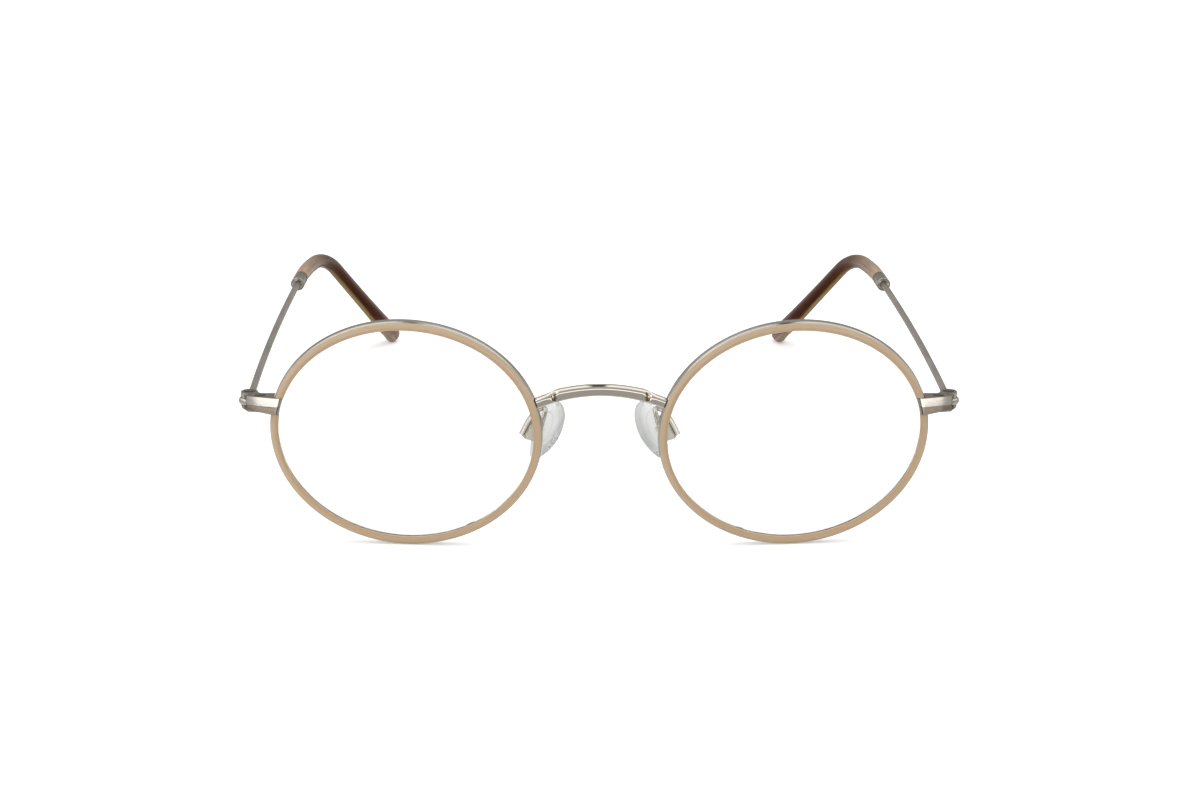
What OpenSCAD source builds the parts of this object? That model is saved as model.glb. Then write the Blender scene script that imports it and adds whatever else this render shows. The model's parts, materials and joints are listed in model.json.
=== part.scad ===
// Round wire-temple eyeglasses with inlaid rims, standing open on the rims and the tips.
// X runs across the front, Y from the lenses back to the tips, and Z up.
// The origin lies on the surface they stand on, midway between front and back.

/* [Lenses] */
// Width of a lens, from bevel edge to bevel edge
lens_width = 46.6; // [44:0.2:50]
// Height of a lens
lens_height = 42; // [39:0.5:45]
// Thickness of a lens
lens_thickness = 1.8; // [1.5:0.1:2.4]
// Radius of the front face of a lens
lens_curve = 110; // [90:5:200]
// Distance between the two lenses at the nose
nose_gap = 22.6; // [21:0.2:24]

/* [Front] */
// Forward lean of the top of the front, in degrees
front_lean = 8.4; // [4:0.2:12]
// Backward turn of the outer side of each rim, in degrees
face_wrap = 4.5; // [2:0.5:7]

/* [Rims] */
// Metal outside the edge of the lens
rim_outside = 0.95; // [0.8:0.05:1.2]
// Metal that laps over the face of the lens
rim_lap = 0.55; // [0.45:0.05:0.7]
// Metal behind the middle of the lens groove
rim_back = 1; // [0.8:0.05:1.3]
// Metal in front of the middle of the lens groove, where the inlay is seated
rim_front = 0.7; // [0.7:0.05:0.9]
// Half the width of the lens groove
groove_half = 0.5; // [0.4:0.05:0.55]
// Thickness of the inlay on the front of the rim
inlay_depth = 0.48; // [0.35:0.01:0.6]
// Bare metal left outside the inlay
inlay_margin = 0.17; // [0.1:0.01:0.25]
// Thickness of the inlay where it turns over the inner edge of the rim
inlay_turn = 0.22; // [0.15:0.01:0.3]

/* [Bridge] */
// Height of the bar in the middle
bridge_height = 2.05; // [1.7:0.05:2.4]
// Height of the bar beside the waists, where it is tallest
bridge_shoulder = 2.15; // [1.9:0.05:2.5]
// Height of the bar where it meets the rims
bridge_foot = 1.8; // [1.5:0.05:2]
// Depth of the bar from front to back
bridge_depth = 1.7; // [1.4:0.05:2]
// Rise of the underside from its ends to its middle
bridge_rise = 2.4; // [1.6:0.1:4]
// Angle round the rim, above its middle, at which the bar is brazed on
bridge_angle = 17.5; // [12:0.5:24]
// Distance from the middle of the bar to each waist
waist_at = 8.1; // [7:0.1:8.6]
// Depth of the groove carved at each waist
waist_depth = 0.35; // [0.2:0.05:0.5]

/* [Rim lock and hinge] */
// Angle round the rim, above its middle, at which the rim is split
split_angle = 11.6; // [8:0.2:18]
// Height of the endpiece above the split
endpiece_height = 1.62; // [1.4:0.02:2]
// Height of the closing block below the split
closing_height = 1.45; // [1.4:0.05:1.8]
// Depth of both blocks from front to back
lock_depth = 2.6; // [2.4:0.05:2.9]
// Reach of both blocks over the front of the rim
wrap_reach = 1; // [0.9:0.05:1.2]
// Thickness of both blocks at their ends in front of the rim
wrap_thickness = 0.7; // [0.5:0.05:0.9]
// Distance from the outside of the rim to the hinge axis
hinge_reach = 4.2; // [3.9:0.05:5]
// Distance from the front of the endpiece to the hinge axis
hinge_back = 3.45; // [3.3:0.05:4]
// Radius of the endpiece's knuckle
knuckle_radius = 1.5; // [1.3:0.05:1.7]
// Radius of the temple's knuckle, which stands proud of the others
bead_radius = 1.95; // [1.8:0.05:2.1]
// Height of the temple's knuckle
bead_height = 1.2; // [1.1:0.05:1.3]
// Radius of the hinge and rim lock screws
screw_radius = 0.6; // [0.5:0.05:0.65]
// Radius of the heads of those screws
head_radius = 0.95; // [0.8:0.05:1.05]
// Height of the heads of those screws
head_height = 0.45; // [0.3:0.05:0.5]

/* [Temples] */
// Width of the temple wire
wire_width = 1.25; // [1:0.05:1.35]
// Height of the temple wire
wire_height = 1.15; // [0.9:0.05:1.2]
// Distance from the hinge axis to where the tip starts to bend down
temple_to_bend = 91; // [84:1:100]
// Radius of the bend over the ear
bend_radius = 15; // [12:1:20]
// Slope of the tip behind the bend, in degrees
tip_fall = 43; // [38:0.5:46]
// Turn of the temple towards the other one, at the hinge, in degrees
temple_toe = 1; // [0:0.1:2]
// Radius of the gentle bow of the wire, seen from above
bow_radius = 1140; // [700:20:1600]
// Radius of the inward curl at the bend, seen from above
curl_radius = 51; // [45:1:60]
// Distance ahead of the bend at which the curl starts
curl_lead = 9.5; // [8:0.5:11]
// Length of the curl, behind which the tip runs straight
curl_length = 18.5; // [16:0.5:21]

/* [Tips] */
// Width of the tip along the bend
tip_width = 2.8; // [2.4:0.1:3.1]
// Height of the tip along the bend
tip_height = 2.8; // [2.4:0.1:3.2]
// Width of the paddle at the end of the tip
paddle_width = 3; // [2.6:0.1:3.6]
// Height of the paddle at the end of the tip
paddle_height = 3.9; // [3.4:0.1:4.6]
// Length of the ferrule at the mouth of the tip
ferrule_length = 5; // [4.4:0.2:7]
// Radius of the ferrule
ferrule_radius = 1.36; // [1.2:0.02:1.5]
// Length of the tip between the ferrule and the bend
tip_lead = 10.5; // [7:0.5:13]

/* [Nose pads] */
// Length of a pad
pad_length = 11.6; // [10.6:0.2:13]
// Width of a pad
pad_width = 7.8; // [6.8:0.2:8.2]
// Thickness of a pad
pad_thickness = 2.1; // [1.8:0.1:2.6]
// Distance from the middle of the front to the middle of a pad
pad_out = 9.5; // [8.9:0.1:10.3]
// Distance from the lens front to the middle of a pad
pad_back = 8.6; // [7.6:0.1:9.6]
// Height of the middle of a pad below the middle of the lenses
pad_drop = 1.4; // [0.6:0.1:2.2]
// Lean of the pads towards each other at the top, in degrees
pad_lean = 26; // [18:1:30]
// Opening of the pads towards the face, in degrees
pad_splay = 28; // [22:1:34]
// Distance from the middle of a pad to its screw
pad_stem = 3; // [2.8:0.1:3.4]
// Diameter of the pad arm wire
arm_thick = 0.85; // [0.7:0.05:1]
// Width of the pad's lug, along its screw
lug_width = 1.2; // [1:0.05:1.3]
// Thickness of the cheeks of the pad box
cheek = 0.45; // [0.4:0.05:0.6]

/* [Hidden] */

// Gap left at brazed and glued joints, and at bores that hold a screw still
seam = 0.02;
// Radial clearance of a bore that turns on its screw
running_gap = 0.04;
// Clearance between a moving piece and what it passes
free_gap = 0.15;
$fn = 48;

metal = "silver";
polished = "gainsboro";
beige = "tan";
clear = [0.85, 0.92, 0.95, 0.35];
horn = "sienna";

// Steps round a rim, along the curved pieces, and round a drawn wire
ring_steps = 58;
wire_sides = 8;
tip_sides = 12;

function unit(v) = v / norm(v);
function mix(a, b, t) = a + (b - a) * t;
function clamp(t) = max(0, min(1, t));

// Lens frame: X towards the temple, Z up, Y back from the front of the lens.
// The edge is an ellipse that lies on the curve of the lens.
function edge_outward(angle) = unit([cos(angle) / lens_width, sin(angle) / lens_height]);
function curve_sag(x, z) = lens_curve - sqrt(lens_curve * lens_curve - x * x - z * z);
function edge_point(angle, section) =
    let (x = lens_width / 2 * cos(angle),
         z = lens_height / 2 * sin(angle),
         outward = edge_outward(angle))
    [x + outward.x * section.x, curve_sag(x, z) + section.y, z + outward.y * section.x];

// The left lens in the front, and the front leaning forward over the surface
lens_x = (lens_width + nose_gap) / 2;
function from_lens(p) =
    [lens_x + p.x * cos(face_wrap) - p.y * sin(face_wrap),
     p.x * sin(face_wrap) + p.y * cos(face_wrap),
     p.z];
function leaned(p) =
    [p.x, p.y * cos(front_lean) - p.z * sin(front_lean), p.y * sin(front_lean) + p.z * cos(front_lean)];
function rim_point(angle, section) = leaned(from_lens(edge_point(angle, section)));
rim_outer_edge = [for (angle = [0 : 2 : 358]) rim_point(angle, [rim_outside, -rim_front])];
lens_z = -min([for (p = rim_outer_edge) p.z]);
function standing(p) = p + [0, 0, lens_z];

module on_lens() translate([0, 0, lens_z]) rotate([front_lean, 0, 0])
    translate([lens_x, 0, 0]) rotate([0, 0, face_wrap]) children();

// The rim is split here, and the two blocks meet on the same level
split_at = standing(rim_point(split_angle, [rim_outside, 0]));
split_z = split_at.z;
split_slope = atan2(edge_outward(split_angle).y, edge_outward(split_angle).x);
block_front = split_at.y - rim_front - free_gap / 3;
hinge = [split_at.x + hinge_reach, block_front + hinge_back];

// Angles between which the inlay is left out, so that the blocks meet bare metal
degrees_per_mm = 180 / PI / (lens_height / 2);
inlay_from = split_angle + (endpiece_height + free_gap / 2) * degrees_per_mm;
inlay_to = 360 + split_angle - (closing_height + free_gap / 2) * degrees_per_mm;
inlay_angles = [for (i = [0 : ring_steps]) mix(inlay_from, inlay_to, i / ring_steps)];
split_half_gap = 3 * seam * degrees_per_mm;
lip_step = 0.25;
lip_angles_up = [split_angle + split_half_gap, inlay_from - lip_step];
lip_angles_down = [inlay_to + lip_step, 360 + split_angle - split_half_gap];
// Near the split, rim and inlay end level with the blocks instead of square to the edge
function level_angle(angle, section) =
    angle - ((section.x - rim_outside) * edge_outward(angle).y + section.y * tan(front_lean))
        * degrees_per_mm / cos(angle);
function level_ring(angle, section) = [for (p = section) edge_point(level_angle(angle, p), p)];
function inlaid_rings(section) = [for (i = [0 : ring_steps])
    i == 0 || i == ring_steps
        ? level_ring(inlay_angles[i], section)
        : [for (p = section) edge_point(inlay_angles[i], p)]];

// Closed surface through rings of points, with a point that closes each end
module skin(rings, first_end, last_end) {
    count = len(rings);
    sides = len(rings[0]);
    points = concat([first_end], [for (ring = rings) each ring], [last_end]);
    walls = [for (i = [0 : count - 2], j = [0 : sides - 1], half = [0, 1])
        let (a = 1 + i * sides + j, b = 1 + i * sides + (j + 1) % sides)
        half == 0 ? [a, b, b + sides] : [a, b + sides, a + sides]];
    last = 1 + (count - 1) * sides;
    ends = [for (j = [0 : sides - 1], end = [0, 1])
        let (k = (j + 1) % sides)
        end == 0 ? [0, 1 + k, 1 + j] : [count * sides + 1, last + j, last + k]];
    polyhedron(points, concat(walls, ends));
}

// Unit outline between a circle, at a softness of 1, and a square, near 0
function soft_outline(sides, softness) =
    [for (i = [0 : sides - 1])
        let (turn = 360 * (i + 0.5) / sides, c = cos(turn), s = sin(turn))
        [sign(c) * pow(abs(c), softness), sign(s) * pow(abs(s), softness)]];

// Ring of points round a place on a path, wide across and high upwards
function path_ring(place, forward, up, outline, half_width, half_height) =
    let (across = unit(cross(forward, up)), upright = cross(across, forward))
    [for (p = outline) place + across * (p.x * half_width) + upright * (p.y * half_height)];

module left() children();
module right() mirror([1, 0, 0]) children();

// Section of the eyewire: X outwards from the lens edge, Y back from the groove.
// Beside the split a bare lip stands up inside the ends of the blocks, and elsewhere there is
// the seat of the inlay.
groove_floor = 0.05;
rim_bevel = 0.25;
rebate = -rim_front + 0.12;
wrap_end = rim_outside - wrap_reach;
lip_outside = wrap_end - free_gap / 3;
lip_height = 0.4;
lip_front = -rim_front - lip_height;
function eyewire_section(front_points) = concat([
    [groove_floor, 0],
    [-rim_lap, groove_half],
    [-rim_lap, rim_back - rim_bevel],
    [-rim_lap + rim_bevel, rim_back],
    [rim_outside - rim_bevel, rim_back],
    [rim_outside, rim_back - rim_bevel],
    [rim_outside, -rim_front]],
    front_points,
    [[-rim_lap, -groove_half]]);
eyewire_seat = eyewire_section([
    [rim_outside - inlay_margin, -rim_front],
    [-rim_lap + inlay_turn, -rim_front],
    [-rim_lap + inlay_turn, rebate],
    [-rim_lap, rebate]]);
eyewire_lip = eyewire_section([
    [lip_outside, -rim_front],
    [lip_outside, lip_front],
    [-rim_lap, lip_front],
    [-rim_lap, rebate]]);

module eyewire() color(metal) stand() on_lens() {
    rings = concat(
        [for (angle = lip_angles_up) level_ring(angle, eyewire_lip)],
        inlaid_rings(eyewire_seat),
        [for (angle = lip_angles_down) level_ring(angle, eyewire_lip)]);
    middle = [[rim_outside / 2, 0]];
    skin(rings, level_ring(lip_angles_up[0], middle)[0], level_ring(lip_angles_down[1], middle)[0]);
}

// Section of the inlay: a crowned band that turns back over the inner edge of the rim
inlay_section = let (
    outer = rim_outside - inlay_margin,
    seat = -rim_front - seam,
    crown = -rim_front - inlay_depth,
    inner = -rim_lap - groove_floor) [
    [-rim_lap + inlay_turn - seam, seat],
    [outer, seat],
    [outer, mix(seat, crown, 0.5)],
    [mix(outer, inner, 0.2), mix(seat, crown, 0.87)],
    [mix(outer, inner, 0.5), crown],
    [mix(outer, inner, 0.82), mix(seat, crown, 0.85)],
    [inner, mix(seat, crown, 0.4)],
    [inner, rebate - seam],
    [-rim_lap + inlay_turn - seam, rebate - seam],
];

module rim_inlay() color(beige) stand() on_lens() {
    middle = [[-rim_lap + inlay_turn / 2, -rim_front - inlay_depth / 2]];
    skin(inlaid_rings(inlay_section), level_ring(inlay_from, middle)[0], level_ring(inlay_to, middle)[0]);
}

// The lens is bevelled all round into the groove, and domed on both faces
lens_shoulder = -rim_lap - seam;
lens_angles = concat(lip_angles_up, inlay_angles, lip_angles_down);
function lens_face_ring(share, level) = [for (angle = lens_angles)
    let (edge = edge_point(angle, [lens_shoulder, 0]), x = edge.x * share, z = edge.z * share)
    [x, curve_sag(x, z) + level, z]];

module lens() color(clear) stand() on_lens() {
    front = -groove_half + seam;
    back = front + lens_thickness;
    bevel = [
        [lens_shoulder, front],
        [-2 * seam, 0],
        [lens_shoulder, groove_half - seam],
        [lens_shoulder, back],
    ];
    rings = concat(
        [lens_face_ring(0.5, front)],
        [for (p = bevel) [for (angle = lens_angles) edge_point(angle, p)]],
        [lens_face_ring(0.5, back)]);
    skin(rings, [0, front, 0], [0, back, 0]);
}

// Bridge: a bar that follows an arch between the two rims, with a carved waist near each end
bridge_clear = seam + bridge_depth / 2 * sin(face_wrap);
bridge_seat = from_lens(edge_point(180 - bridge_angle, [rim_outside + bridge_clear, 0]));
bridge_tilt = atan2(edge_outward(180 - bridge_angle).y, -edge_outward(180 - bridge_angle).x);
bridge_end = [bridge_seat.x, bridge_seat.z] - bridge_foot / 2 * [sin(bridge_tilt), cos(bridge_tilt)];
bridge_drop = bridge_rise / (bridge_end.x * bridge_end.x);
bridge_front = bridge_seat.y - bridge_depth / 2;
waist_half = 0.22;
waist_bevel = 0.2;
waist_chamfer = 0.55;
chamfer_reach = 1.1;
corner_bevel = 0.25;
bar_stations = let (
    inner = waist_at - waist_half - waist_bevel,
    outer = waist_at + waist_half + waist_bevel,
    half = concat(
        [for (i = [0.5 : 1 : 9]) inner * i / 9],
        [inner, waist_at - waist_half, waist_at + waist_half, outer],
        [for (i = [1 : 3]) mix(outer, bridge_end.x, i / 3)]))
    concat([for (i = [len(half) - 1 : -1 : 0]) -half[i]], half);

shoulder_at = waist_at - chamfer_reach;
function bar_height(x) =
    x < shoulder_at ? mix(bridge_height, bridge_shoulder, pow(x / shoulder_at, 3))
                    : mix(bridge_shoulder, bridge_foot, clamp((x - shoulder_at) / chamfer_reach / 2));
function in_waist(x) = abs(x - waist_at) < waist_half + 0.01;
function bar_ring(x) = let (
    side = sign(x),
    far = abs(x),
    height = bar_height(far),
    slope = atan(2 * bridge_drop * far),
    lean = mix(slope, bridge_tilt, pow(far / bridge_end.x, 6)),
    front = in_waist(far) ? waist_depth : 0,
    top_bevel = corner_bevel + waist_chamfer * max(0, 1 - abs(far - waist_at) / chamfer_reach),
    low = bridge_end.y + bridge_rise - bridge_drop * far * far,
    outline = [
        [front, corner_bevel],
        [front, height - top_bevel],
        [top_bevel, height],
        [bridge_depth - corner_bevel, height],
        [bridge_depth, height - corner_bevel],
        [bridge_depth, corner_bevel],
        [bridge_depth - corner_bevel, 0],
        [front + corner_bevel, 0],
    ])
    [for (p = outline) [side * (far + p.y * sin(lean)), bridge_front + p.x, low + p.y * cos(lean)]];

module bridge() color(polished) stand() translate([0, 0, lens_z]) rotate([front_lean, 0, 0]) {
    rings = [for (x = bar_stations) bar_ring(x)];
    ends = [for (ring = [rings[0], rings[len(rings) - 1]]) (ring[0] + ring[4]) / 2];
    skin(rings, ends[0], ends[1]);
}

// Rim lock and hinge: both blocks share one plan, and are trimmed to the outside of the rim
lock_top = split_z + endpiece_height;
lock_bottom = split_z - closing_height;
bead_top = split_z + 0.05 + bead_height / 2;
bead_bottom = bead_top - bead_height;
knuckle_top = lock_top + 0.05;
knuckle_bottom = lock_bottom + 0.12;
knuckle_bevel = 0.3;
lock_screw = [hinge.x - 2.05, block_front + lock_depth / 2];
block_back = block_front + lock_depth;
head_seat = head_height + 2 * seam;
block_root = split_at.x - 2;
wrap_front = block_front - wrap_thickness * cos(face_wrap) - wrap_reach * sin(face_wrap);
elbow = [hinge.x - 1.7, block_front + 0.08];
outer_corner = [hinge.x + 0.15, block_front + 0.7];
outer_side = [hinge.x + 0.45, block_front + 1.3];
lock_plan = [
    [block_root, wrap_front],
    [split_at.x - wrap_reach / 2, wrap_front],
    elbow,
    outer_corner,
    outer_side,
    [outer_corner.x, block_back],
    [block_root, block_back],
];
// Outline of the web that carries a knuckle from the block
web_root = elbow.x - 0.9;
function in_knuckle(angle) = hinge + (knuckle_radius - 0.1) * [cos(angle), sin(angle)];
web_plan = [
    [web_root, block_front + 0.3],
    outer_corner - [0.05, -0.05],
    in_knuckle(-15),
    in_knuckle(130),
    [hinge.x - knuckle_radius - 0.25, block_back + 0.35],
    [web_root, block_back - 0.1],
];

module prism(low, high, plan) translate([0, 0, low]) linear_extrude(high - low) polygon(plan);
module shaft(place, low, high, radius) translate([place.x, place.y, low])
    cylinder(h = high - low, r = radius);

// What the rim takes away from the blocks: all that lies inside its outside, save what wraps
// over its front, and all that lies beyond the wrap
module rim_side() {
    reach = 12;
    for (cut = [[rim_outside + seam, -rim_front - free_gap / 3], [wrap_end, -reach]]) {
        seat = edge_point(split_angle, [cut.x, cut.y]);
        on_lens() translate([seat.x, seat.y, seat.z]) rotate([0, -split_slope, 0])
            translate([-reach, 0, -reach]) cube([reach, 2 * reach, 2 * reach]);
    }
}

module endpiece() color(polished) stand() difference() {
    union() {
        prism(split_z + seam, lock_top, lock_plan);
        prism(bead_top + running_gap, lock_top - seam, web_plan);
        shaft(hinge, bead_top + running_gap, knuckle_top, knuckle_radius);
    }
    rim_side();
    shaft(hinge, split_z - 1, bead_top + running_gap, bead_radius + free_gap);
    shaft(hinge, split_z, knuckle_top + 1, screw_radius + running_gap);
    shaft(hinge, knuckle_top - head_seat, knuckle_top + 1, head_radius + running_gap);
    shaft(lock_screw, split_z - 1, lock_top + 1, screw_radius + seam);
    shaft(lock_screw, lock_top - head_seat, lock_top + 1, head_radius + running_gap);
}

// Rise of the closing block's underside towards the hinge, in degrees
closing_rise = 7;
module closing_block() color(metal) stand() difference() {
    union() {
        difference() {
            prism(lock_bottom, split_z - seam, lock_plan);
            translate([split_at.x, 0, lock_bottom]) rotate([0, -closing_rise, 0])
                translate([0, block_front - 1, -3]) cube([9, lock_depth + 2, 3]);
        }
        prism(knuckle_bottom + seam, bead_bottom - running_gap - seam, web_plan);
        translate([hinge.x, hinge.y, knuckle_bottom]) rotate_extrude() polygon([
            [0, 0],
            [knuckle_radius - knuckle_bevel, 0],
            [knuckle_radius, knuckle_bevel],
            [knuckle_radius, bead_bottom - running_gap - knuckle_bottom],
            [0, bead_bottom - running_gap - knuckle_bottom],
        ]);
    }
    rim_side();
    shaft(hinge, bead_bottom - running_gap, split_z + 1, bead_radius + free_gap);
    shaft(hinge, knuckle_bottom - 1, split_z, screw_radius + seam);
    shaft(lock_screw, lock_bottom + 0.3, split_z + 1, screw_radius + seam);
}

// Screw with a slotted head, from its lower end up to the top of its head
slot_width = 0.26;
slot_depth = 0.25;
slot_turn = -15;
module slotted_screw(low, high) rotate([0, 0, slot_turn]) difference() {
    union() {
        translate([0, 0, low]) cylinder(h = high - low - head_height, r = screw_radius);
        translate([0, 0, high - head_height]) cylinder(h = head_height, r = head_radius);
    }
    translate([-head_radius - 1, -slot_width / 2, high - slot_depth])
        cube([2 * head_radius + 2, slot_width, slot_depth + 1]);
}
module rim_lock_screw() color(metal) stand() translate([lock_screw.x, lock_screw.y, 0])
    slotted_screw(lock_bottom + 0.35, lock_top - seam);
module hinge_screw() color(metal) stand() translate([hinge.x, hinge.y, 0])
    slotted_screw(knuckle_bottom + 0.1, knuckle_top - seam);

// Path of the temple: how far in and how far down it is, at a distance back from the hinge
wire_z = (bead_top + bead_bottom) / 2;
curl_from = temple_to_bend - curl_lead;
function temple_in(back) =
    let (curled = min(curl_length, max(0, back - curl_from)),
         straight = max(0, back - curl_from - curl_length))
    back * tan(temple_toe) + back * back / 2 / bow_radius
    + (curled / 2 + straight) * curled / curl_radius;
bend_run = bend_radius * sin(tip_fall);
bend_drop = bend_radius * (1 - cos(tip_fall));
function temple_down(back) =
    let (past = back - temple_to_bend)
    past < 0 ? 0
    : past < bend_run ? bend_radius - sqrt(bend_radius * bend_radius - past * past)
    : bend_drop + (past - bend_run) * tan(tip_fall);
function temple_at(back) = [hinge.x - temple_in(back), hinge.y + back, wire_z - temple_down(back)];
function temple_forward(back) = unit(temple_at(back + 0.05) - temple_at(back - 0.05));

shank_length = 3;
ferrule_from = temple_to_bend - tip_lead - ferrule_length;
tip_from = ferrule_from + ferrule_length;
// The paddle's round end just touches the surface
paddle_end_radius = paddle_height / 2;
tip_to = temple_to_bend + bend_run
    + (wire_z - bend_drop - paddle_end_radius) / tan(tip_fall);
paddle_cap = paddle_end_radius * cos(tip_fall);
core_to = tip_to - 7;

front_most = min([for (angle = [0 : 2 : 358])
    rim_point(angle, [0, -rim_front - inlay_depth]).y]);
back_most = hinge.y + tip_to + paddle_end_radius;
stand_y = -(front_most + back_most) / 2;
module stand() translate([0, stand_y, 0]) children();

// Places a piece on the straight stretch of the temple between two distances back
module on_temple(from, to) {
    run = temple_at(to) - temple_at(from);
    translate(temple_at(from)) rotate([0, 0, atan2(-run.x, run.y)]) rotate([-90, 0, 0])
        children();
}

bead_crown = 0.1;
bead_bevel = 0.35;
module temple_knuckle() color(metal) stand() difference() {
    union() {
        translate([hinge.x, hinge.y, bead_bottom]) rotate_extrude() polygon([
            [0, 0],
            [bead_radius - bead_bevel, 0],
            [bead_radius - bead_crown, bead_height * 0.2],
            [bead_radius, bead_height * 0.5],
            [bead_radius - bead_crown, bead_height * 0.8],
            [bead_radius - bead_bevel, bead_height],
            [0, bead_height],
        ]);
        on_temple(0, shank_length) linear_extrude(shank_length)
            square([wire_width + 0.1, min(wire_height, bead_height)], center = true);
    }
    shaft(hinge, bead_bottom - 1, bead_top + 1, screw_radius + running_gap);
}

wire_stations = concat(
    [shank_length + seam],
    [for (i = [1 : 7]) mix(shank_length, ferrule_from, i / 8)],
    [ferrule_from, tip_from]);
core_stations = [for (i = [1 : 18]) mix(tip_from, core_to, i / 18)];
core_width = wire_width - 0.2;
core_height = wire_height - 0.15;
module temple_wire() color(metal) stand() {
    outline = soft_outline(wire_sides, 0.75);
    up = [0, 0, 1];
    rings = concat(
        [for (back = wire_stations)
            path_ring(temple_at(back), temple_forward(back), up, outline, wire_width / 2, wire_height / 2)],
        [for (back = core_stations)
            path_ring(temple_at(back), temple_forward(back), up, outline, core_width / 2, core_height / 2)]);
    skin(rings, temple_at(wire_stations[0]), temple_at(core_to));
}

// The ferrule is a collar with a coned mouth, and its bore lets the wire through to the tip
module ferrule() color(metal) stand() on_temple(ferrule_from, tip_from) {
    bore = norm([wire_width, wire_height]) / 2;
    cone_depth = 0.8;
    lip = 0.2;
    rotate_extrude() polygon([
        [bore, cone_depth],
        [ferrule_radius - lip, lip],
        [ferrule_radius - lip / 2, 0],
        [ferrule_radius, lip],
        [ferrule_radius, ferrule_length - seam],
        [bore, ferrule_length - seam],
    ]);
}

// The tip: a moulded sleeve on the core of the wire, flaring to a paddle with a round end. The
// higher the power of the flare, the nearer the end it starts.
paddle_flare = 5;
function tip_share(back) = clamp((back - tip_from) / (tip_to - tip_from));
function tip_half(back) = let (
    share = tip_share(back),
    flare = pow(share, paddle_flare),
    mouth = 1 - clamp((back - tip_from) / 4))
    [mix(mix(tip_width, paddle_width, flare), 2 * ferrule_radius - 0.1, mouth) / 2,
     mix(mix(tip_height, paddle_height, flare), 2 * ferrule_radius - 0.1, mouth) / 2];
tip_stations = concat(
    [tip_from + seam],
    [for (i = [1 : 14]) mix(tip_from, temple_to_bend + bend_run, i / 14)],
    [for (i = [1 : 5]) mix(temple_to_bend + bend_run, tip_to, i / 5)]);
module temple_tip() color(horn) stand() {
    up = [0, 0, 1];
    outline = soft_outline(tip_sides, 0.9);
    channel = 0.12;
    channel_stations = concat([tip_from + seam], core_stations, [core_to + channel]);
    channel_rings = [for (i = [len(channel_stations) - 1 : -1 : 0])
        let (back = channel_stations[i], mouth = i == 0 ? wire_width - core_width : 0)
        path_ring(temple_at(back), temple_forward(back), up, outline,
            core_width / 2 + channel + mouth / 2, core_height / 2 + channel + mouth / 2)];
    outer_rings = [for (back = tip_stations) let (half = tip_half(back))
        path_ring(temple_at(back), temple_forward(back), up, outline, half.x, half.y)];
    end = temple_at(tip_to);
    forward = temple_forward(tip_to);
    cap_rings = [for (turn = [22 : 22 : 66]) let (half = tip_half(tip_to))
        path_ring(end + forward * paddle_end_radius * sin(turn), forward, up, outline,
            half.x * cos(turn), half.y * cos(turn))];
    skin(concat(channel_rings, outer_rings, cap_rings),
        temple_at(core_to + channel), end + forward * paddle_end_radius);
}

// Pad frame, at the pad screw: X along the screw, Y towards the nose, Z up the pad
pad_middle = [pad_out, pad_back, lens_z - pad_drop];
pad_up = [-sin(pad_lean), 0, cos(pad_lean)];
pad_face = [-cos(pad_splay) * cos(pad_lean), sin(pad_splay), -cos(pad_splay) * sin(pad_lean)];
pad_along = cross(pad_face, pad_up);
pad_pivot = pad_middle - pad_face * pad_stem;
module on_pad() multmatrix([
    [pad_along.x, pad_face.x, pad_up.x, pad_pivot.x],
    [pad_along.y, pad_face.y, pad_up.y, pad_pivot.y],
    [pad_along.z, pad_face.z, pad_up.z, pad_pivot.z],
    [0, 0, 0, 1]]) children();

lug_radius = 0.8;
pad_screw_radius = 0.4;
pad_head_radius = 0.7;
pad_head_height = 0.35;
box_half = lug_width / 2 + running_gap + cheek;
box_back = lug_radius + free_gap;
box_length = 4;
box_front = 0.95;

module along_screw(length, radius, start) translate([start, 0, 0]) rotate([0, 90, 0])
    cylinder(h = length, r = radius);

module pad_box() color(metal) stand() on_pad() difference() {
    translate([-box_half, -box_back - cheek, -box_length / 2])
        cube([2 * box_half, box_back + cheek + box_front, box_length]);
    translate([-box_half + cheek, -box_back, -box_length])
        cube([2 * (box_half - cheek), box_back + box_front + 1, 2 * box_length]);
    along_screw(2 * box_half + 2, pad_screw_radius + seam, -box_half - 1);
}

module pad_screw() color(metal) stand() on_pad() difference() {
    union() {
        along_screw(2 * box_half + seam, pad_screw_radius, -box_half);
        along_screw(pad_head_height, pad_head_radius, box_half + seam);
    }
    translate([box_half + pad_head_height / 2, -0.1, -2]) cube([1, 0.2, 4]);
}

// A pad is crowned on both faces, broad at the top and narrower below
pad_layers = [[-0.5, 0.72], [-0.32, 0.93], [-0.08, 1], [0.14, 0.97], [0.34, 0.8], [0.46, 0.5]];
pad_sides = 20;
function pad_ring(level, share) = [for (i = [0 : pad_sides - 1])
    let (turn = 360 * i / pad_sides)
    [pad_width / 2 * share * cos(turn) * (1 + 0.14 * sin(turn)),
     pad_stem + level * pad_thickness,
     pad_length / 2 * share * sin(turn)]];
module nose_pad() color(clear) stand() on_pad() difference() {
    union() {
        back_face = [0, pad_stem + pad_layers[0][0] * pad_thickness, 0];
        nose_face = [0, pad_stem + pad_thickness / 2, 0];
        skin([for (layer = pad_layers) pad_ring(layer[0], layer[1])], back_face, nose_face);
        along_screw(lug_width, lug_radius, -lug_width / 2);
        translate([-lug_width / 2, 0, -lug_radius + 0.1])
            cube([lug_width, pad_stem - pad_thickness * 0.3, 2 * lug_radius - 0.2]);
    }
    along_screw(lug_width + 2, pad_screw_radius + running_gap, -lug_width / 2 - 1);
}

// The pad arm rises from the back of the rim, turns over and runs down the back of the pad box
arm_radius = arm_thick / 2;
arm_angle = 178;
arm_start = standing(rim_point(arm_angle, [rim_outside / 2, rim_back + seam]));
arm_leaves = unit(standing(rim_point(arm_angle, [rim_outside / 2, rim_back + 1])) - arm_start);
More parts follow.
